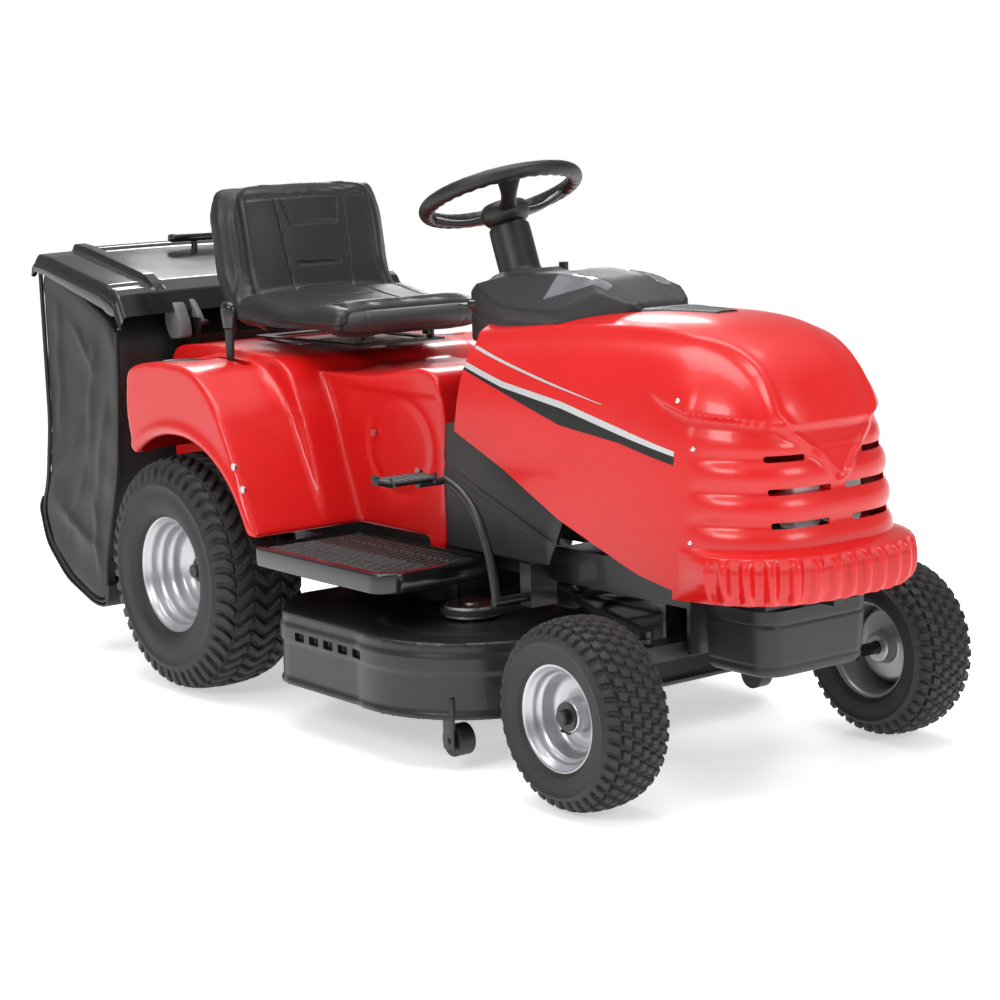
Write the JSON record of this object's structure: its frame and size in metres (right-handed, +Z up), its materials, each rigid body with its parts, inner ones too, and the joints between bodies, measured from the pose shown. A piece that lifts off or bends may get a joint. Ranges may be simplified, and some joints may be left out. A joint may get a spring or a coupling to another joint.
{
  "type": "riding lawn mower",
  "caption": "Ride-on mower with a front bonnet, padded seat, twin-blade deck and rear grass collector.",
  "frame": {"origin": "on the ground under the middle of the machine's overall box", "axes": "+X forward, +Y to the driver's left, +Z up"},
  "size_m": [2.144, 0.874, 1.0309],
  "materials": {
    "red_panel": "glossy red moulded panel",
    "black_plastic": "satin black moulded plastic",
    "dark_grey_plastic": "charcoal moulded plastic",
    "black_steel": "black painted steel",
    "silver_wheel": "silver grey painted steel",
    "tyre_rubber": "black tyre rubber",
    "vinyl": "black padded vinyl",
    "grey_rubber": "grey ribbed mat",
    "aluminium": "cast aluminium",
    "bright_steel": "plain steel",
    "window": "dark clear window",
    "lamp": "white lamp unit",
    "belt": "drive belt",
    "bag_cloth": "black collector sides"
  },
  "bodies": {
    "chassis": {"chassis_frame": "black_steel", "rear_plate": "black_steel", "front_cover": "black_plastic", "engine_block": "aluminium", "engine_shroud": "black_plastic", "muffler": "black_steel", "fuel_tank": "black_plastic", "battery": "black_plastic", "transaxle": "aluminium", "drive_belt": "belt", "discharge_chute": "black_plastic", "fender_body": "red_panel", "side_cover": "dark_grey_plastic", "dash_console": "dark_grey_plastic", "instrument_window": "window", "column_sleeve": "black_plastic", "footboard_right": "black_plastic", "footboard_left": "black_plastic", "foot_mats": "grey_rubber", "body_screws": "bright_steel"},
    "bonnet": {"bonnet_shell": "red_panel", "bonnet_insert": "dark_grey_plastic", "headlamps": "lamp"},
    "front_axle": {"front_axle_beam": "black_steel"},
    "right_knuckle": {"knuckle_right": "black_steel"},
    "left_knuckle": {"knuckle_left": "black_steel"},
    "front_right_wheel": {"front_tyre_right": "tyre_rubber", "front_rim_right": "silver_wheel"},
    "front_left_wheel": {"front_tyre_left": "tyre_rubber", "front_rim_left": "silver_wheel"},
    "rear_right_wheel": {"rear_tyre_right": "tyre_rubber", "rear_rim_right": "silver_wheel"},
    "rear_left_wheel": {"rear_tyre_left": "tyre_rubber", "rear_rim_left": "silver_wheel"},
    "tie_rod": {"tie_rod": "black_steel"},
    "drag_link": {"drag_link": "black_steel"},
    "sector": {"steering_sector": "bright_steel"},
    "steering": {"steering_wheel": "black_plastic", "steering_shaft": "bright_steel"},
    "deck": {"deck_shell": "black_steel", "deck_belt": "belt"},
    "right_blade": {"blade_right": "bright_steel", "spindle_right": "bright_steel"},
    "left_blade": {"blade_left": "bright_steel", "spindle_left": "bright_steel"},
    "right_roller": {"deck_roller_right": "black_plastic"},
    "left_roller": {"deck_roller_left": "black_plastic"},
    "height_lever": {"height_lever": "black_plastic"},
    "drive_pedal": {"drive_pedal": "black_steel"},
    "brake_pedal": {"brake_pedal": "black_steel"},
    "crank_pulley": {"crank_pulley": "bright_steel"},
    "transaxle_pulley": {"transaxle_pulley": "bright_steel"},
    "seat_slide": {"seat_bracket": "black_steel"},
    "seat": {"seat_pan": "black_steel", "seat_cushion": "vinyl"},
    "collector": {"collector_bag": "bag_cloth", "collector_lid": "black_plastic"},
    "collector_handle": {"collector_handle": "black_steel"},
    "throttle": {"throttle_lever": "black_plastic"},
    "key": {"ignition_key": "black_plastic"}
  },
  "joints": [
    {"name": "bonnet_hinge", "type": "hinge", "parent": "chassis", "child": "bonnet", "pos_m": [0.9885, 0, 0.345], "axis": [0, 1, 0], "range_deg": [0, 70]},
    {"name": "axle_pivot", "type": "hinge", "parent": "chassis", "child": "front_axle", "pos_m": [0.7735, 0, 0.245], "axis": [1, 0, 0], "range_deg": [-4, 4]},
    {"name": "steering_column", "type": "hinge", "parent": "chassis", "child": "steering", "pos_m": [0.1385, 0, 0.965], "axis": [-0.3584, 0, 0.9336], "range_deg": [-270, 270]},
    {"name": "sector_pivot", "type": "hinge", "parent": "chassis", "child": "sector", "pos_m": [0.2635, 0, 0.293], "axis": [0, 0, 1], "range_deg": [-31, 31]},
    {"name": "right_kingpin", "type": "hinge", "parent": "front_axle", "child": "right_knuckle", "pos_m": [0.7735, -0.262, 0.2], "axis": [0, 0, 1], "range_deg": [-31, 31]},
    {"name": "left_kingpin", "type": "hinge", "parent": "front_axle", "child": "left_knuckle", "pos_m": [0.7735, 0.262, 0.2], "axis": [0, 0, 1], "range_deg": [-31, 31]},
    {"name": "tie_rod_pivot", "type": "hinge", "parent": "right_knuckle", "child": "tie_rod", "pos_m": [0.7035, -0.262, 0.158], "axis": [0, 0, 1], "range_deg": [-31, 31]},
    {"name": "drag_link_pivot", "type": "hinge", "parent": "right_knuckle", "child": "drag_link", "pos_m": [0.7735, -0.217, 0.27], "axis": [0, 0, 1], "range_deg": [-31, 31]},
    {"name": "front_right_hub", "type": "hinge", "parent": "right_knuckle", "child": "front_right_wheel", "pos_m": [0.7735, -0.354, 0.16], "axis": [0, 1, 0], "continuous": true},
    {"name": "front_left_hub", "type": "hinge", "parent": "left_knuckle", "child": "front_left_wheel", "pos_m": [0.7735, 0.354, 0.16], "axis": [0, 1, 0], "continuous": true},
    {"name": "rear_right_axle", "type": "hinge", "parent": "chassis", "child": "rear_right_wheel", "pos_m": [-0.4065, -0.342, 0.235], "axis": [0, 1, 0], "continuous": true},
    {"name": "rear_left_axle", "type": "hinge", "parent": "chassis", "child": "rear_left_wheel", "pos_m": [-0.4065, 0.342, 0.235], "axis": [0, 1, 0], "continuous": true},
    {"name": "deck_lift", "type": "slide", "parent": "chassis", "child": "deck", "axis": [0, 0, 1], "range_m": [-0.022, 0.01]},
    {"name": "height_lever_pivot", "type": "hinge", "parent": "chassis", "child": "height_lever", "pos_m": [-0.4065, -0.262, 0.52], "axis": [0, 1, 0], "range_deg": [-7, 13]},
    {"name": "right_blade_spindle", "type": "hinge", "parent": "deck", "child": "right_blade", "pos_m": [0.2935, -0.212, 0.15], "axis": [0, 0, 1], "continuous": true},
    {"name": "left_blade_spindle", "type": "hinge", "parent": "deck", "child": "left_blade", "pos_m": [0.2935, 0.212, 0.15], "axis": [0, 0, 1], "continuous": true},
    {"name": "right_roller_pin", "type": "hinge", "parent": "deck", "child": "right_roller", "pos_m": [0.4365, -0.354, 0.052], "axis": [0, 1, 0], "continuous": true},
    {"name": "left_roller_pin", "type": "hinge", "parent": "deck", "child": "left_roller", "pos_m": [0.4365, 0.354, 0.052], "axis": [0, 1, 0], "continuous": true},
    {"name": "drive_pedal_pivot", "type": "hinge", "parent": "chassis", "child": "drive_pedal", "pos_m": [0.4435, -0.218, 0.282], "axis": [0, 1, 0], "range_deg": [0, 18], "stiffness_Nm_per_rad": 8, "springref_deg": -11.46},
    {"name": "brake_pedal_pivot", "type": "hinge", "parent": "chassis", "child": "brake_pedal", "pos_m": [0.4435, 0.218, 0.282], "axis": [0, 1, 0], "range_deg": [0, 18], "stiffness_Nm_per_rad": 8, "springref_deg": -11.46},
    {"name": "crankshaft", "type": "hinge", "parent": "chassis", "child": "crank_pulley", "pos_m": [0.6035, 0, 0.326], "axis": [0, 0, 1], "continuous": true},
    {"name": "transaxle_input", "type": "hinge", "parent": "chassis", "child": "transaxle_pulley", "pos_m": [-0.3865, 0.09, 0.326], "axis": [0, 0, 1], "continuous": true},
    {"name": "seat_adjust", "type": "slide", "parent": "chassis", "child": "seat_slide", "axis": [1, 0, 0], "range_m": [-0.03, 0.03]},
    {"name": "seat_tilt", "type": "hinge", "parent": "seat_slide", "child": "seat", "pos_m": [-0.2135, 0, 0.688], "axis": [0, 1, 0], "range_deg": [0, 50]},
    {"name": "collector_tip", "type": "hinge", "parent": "chassis", "child": "collector", "pos_m": [-0.6515, 0, 0.7], "axis": [0, 1, 0], "range_deg": [0, 65]},
    {"name": "collector_handle_slide", "type": "slide", "parent": "collector", "child": "collector_handle", "axis": [0, 0, 1], "range_m": [0, 0.15]},
    {"name": "throttle_pivot", "type": "hinge", "parent": "chassis", "child": "throttle", "pos_m": [0.1955, 0.1, 0.8], "axis": [0, 1, 0], "range_deg": [-20, 20]},
    {"name": "key_turn", "type": "hinge", "parent": "chassis", "child": "key", "pos_m": [0.0835, -0.08, 0.768], "axis": [1, 0, 0], "range_deg": [0, 70]}
  ],
  "couplings": [
    {"joint": "sector_pivot", "follows": "steering_column", "ratio": -0.11111},
    {"joint": "right_kingpin", "follows": "steering_column", "ratio": 0.11111},
    {"joint": "left_kingpin", "follows": "steering_column", "ratio": 0.11111},
    {"joint": "tie_rod_pivot", "follows": "steering_column", "ratio": -0.11111},
    {"joint": "drag_link_pivot", "follows": "steering_column", "ratio": -0.11111},
    {"joint": "height_lever_pivot", "follows": "deck_lift", "rad_per_m": -10},
    {"joint": "left_blade_spindle", "follows": "right_blade_spindle", "ratio": 1},
    {"joint": "transaxle_input", "follows": "crankshaft", "ratio": 1.4286}
  ]
}
